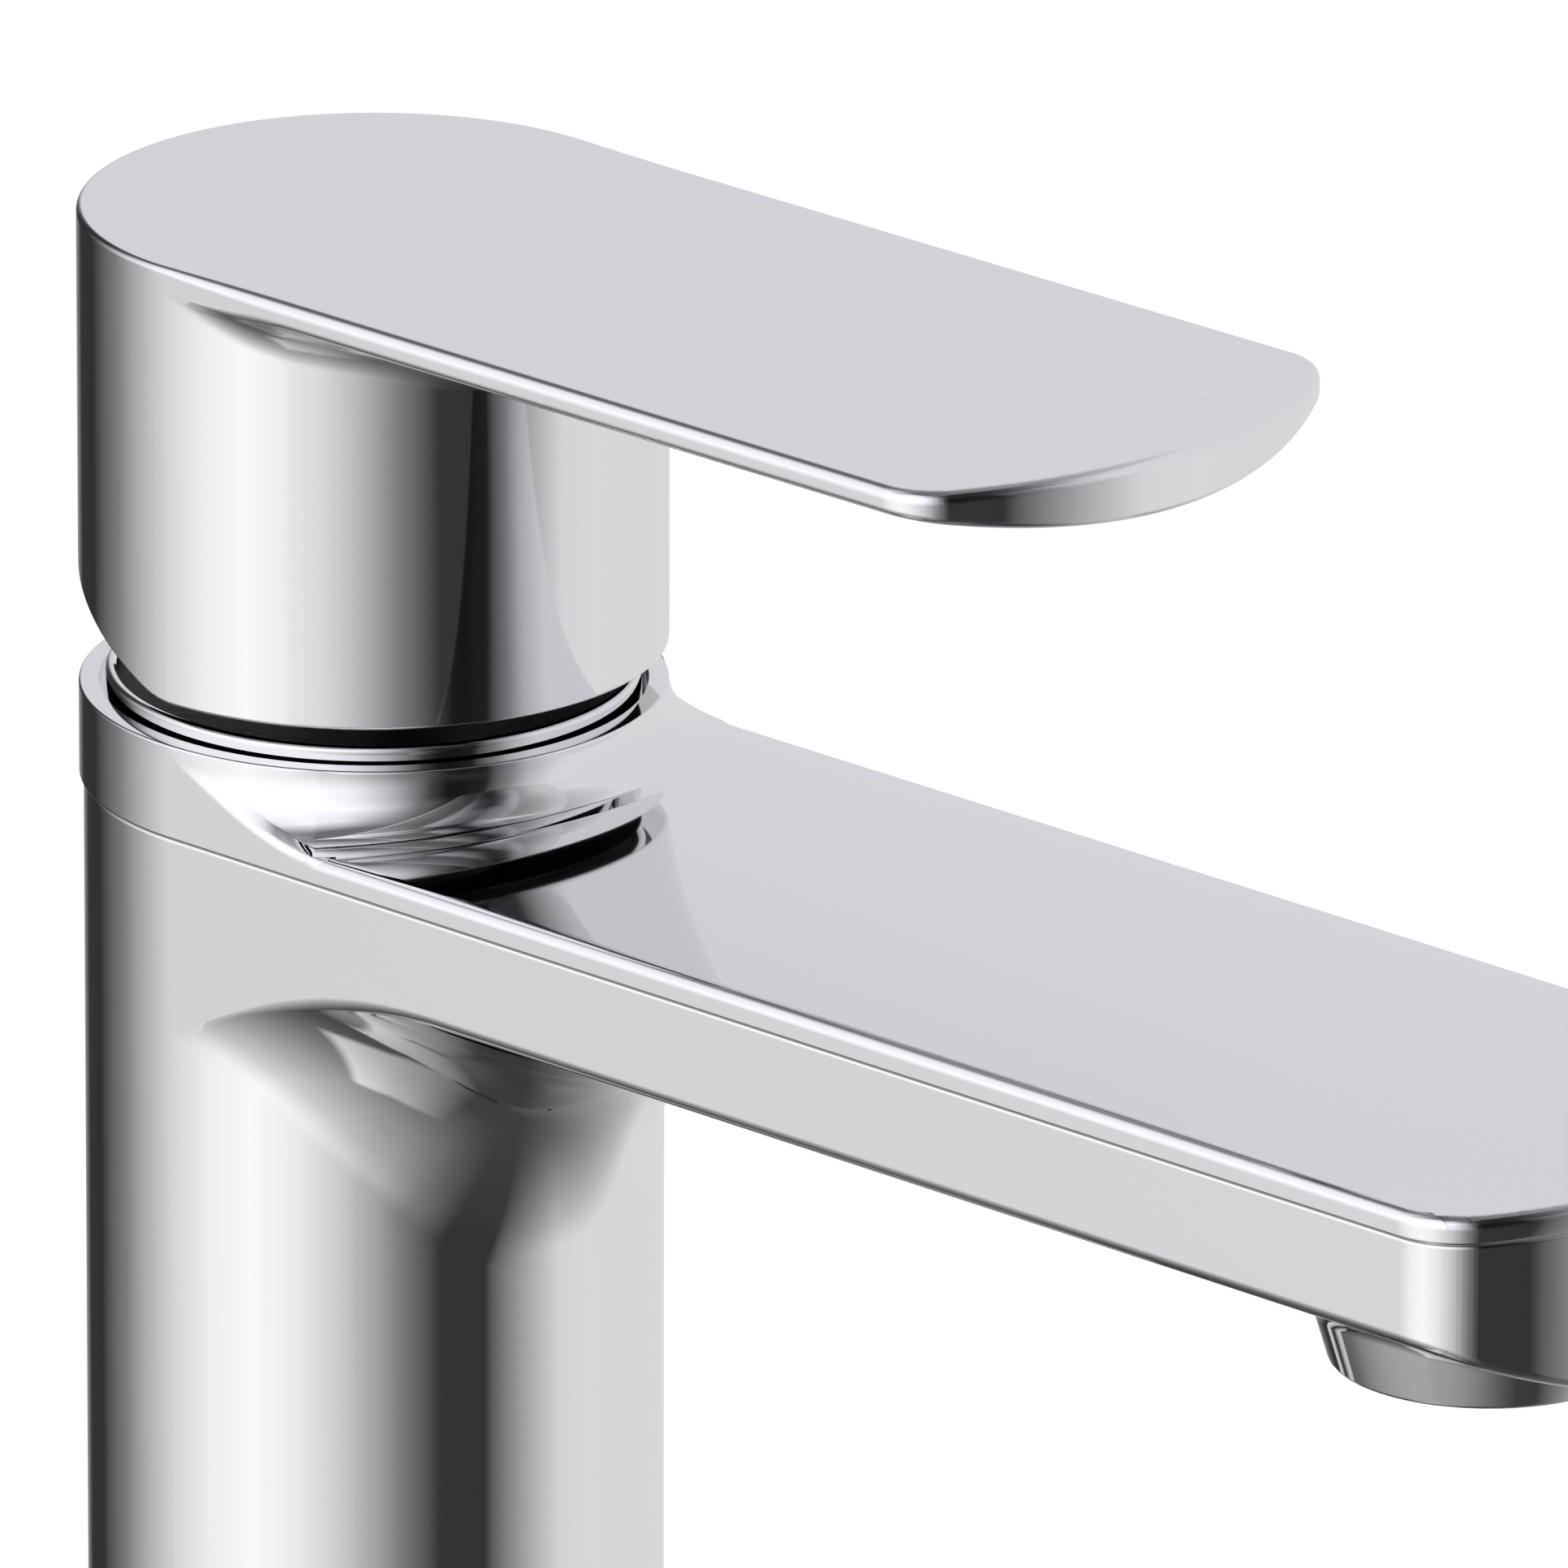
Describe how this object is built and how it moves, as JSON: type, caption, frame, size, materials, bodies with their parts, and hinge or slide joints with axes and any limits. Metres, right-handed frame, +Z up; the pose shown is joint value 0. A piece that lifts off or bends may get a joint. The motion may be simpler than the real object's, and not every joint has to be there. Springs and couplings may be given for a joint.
{
  "type": "single-lever basin mixer faucet",
  "caption": "Chromed single-lever bathroom basin mixer: round column, flat rounded spout, flat lever, ceramic cartridge and deck clamp.",
  "frame": {"origin": "centre of the foot on the deck surface", "axes": "+Z up along the column and the mounting stud, the spout and the lever point along -Y"},
  "size_m": [0.048, 0.1583, 0.207],
  "materials": {
    "chrome_cast": "polished chrome plate on cast brass",
    "chrome_turned": "polished chrome plate on turned brass",
    "brass": "machined",
    "white_plastic": "moulded acetal",
    "grey_plastic": "moulded glass-filled nylon",
    "red_plastic": "moulded acetal",
    "rubber": "moulded EPDM",
    "ceramic": "ground alumina ceramic",
    "ceramic_grey": "ground alumina ceramic",
    "steel": "turned stainless steel"
  },
  "bodies": {
    "mixer": {"body": "chrome_cast", "top_cover": "chrome_cast", "dome_ring": "chrome_turned", "cartridge_nut": "brass", "cartridge_housing": "white_plastic", "cartridge_base": "grey_plastic", "inlet_seals": "rubber", "disc_seal": "rubber", "fixed_disc": "ceramic", "cartridge_o_ring": "rubber", "guide_o_ring": "rubber", "limit_ring": "red_plastic", "spout_tube": "brass", "tube_o_rings": "rubber", "aerator_body": "grey_plastic", "aerator_insert": "white_plastic", "aerator_mesh": "steel", "aerator_washer": "rubber", "foot_seal": "rubber", "mounting_stud": "steel"},
    "turning_guide": {"rotating_guide": "grey_plastic", "pivot_pin": "steel"},
    "lever": {"stem": "steel", "handle": "chrome_cast", "grub_screw": "steel", "index_plug": "grey_plastic"},
    "disc_slide": {"disc_carrier": "white_plastic", "moving_disc": "ceramic_grey"},
    "clamp": {"rubber_pad": "rubber", "clamp_washer": "steel"},
    "nut": {"clamp_nut": "brass"}
  },
  "joints": [
    {"name": "lever_turn", "type": "hinge", "parent": "mixer", "child": "turning_guide", "pos_m": [0, 0, 0.102], "axis": [0, 0, 1], "range_deg": [-45, 45]},
    {"name": "lever_lift", "type": "hinge", "parent": "turning_guide", "child": "lever", "pos_m": [0, 0, 0.102], "axis": [-1, 0, 0], "range_deg": [0, 22]},
    {"name": "disc_travel", "type": "slide", "parent": "turning_guide", "child": "disc_slide", "axis": [0, -1, 0], "range_m": [0, 0.00497]},
    {"name": "clamp_travel", "type": "slide", "parent": "mixer", "child": "clamp", "axis": [0, 0, -1], "range_m": [-0.012, 0.012]},
    {"name": "nut_spin", "type": "hinge", "parent": "clamp", "child": "nut", "pos_m": [0, 0.009, -0.029], "axis": [0, 0, -1], "range_deg": [-3460, 3460]}
  ],
  "couplings": [
    {"joint": "disc_travel", "follows": "lever_lift", "m_per_rad": 0.01268},
    {"joint": "nut_spin", "follows": "clamp_travel", "rad_per_m": 5026.5}
  ]
}
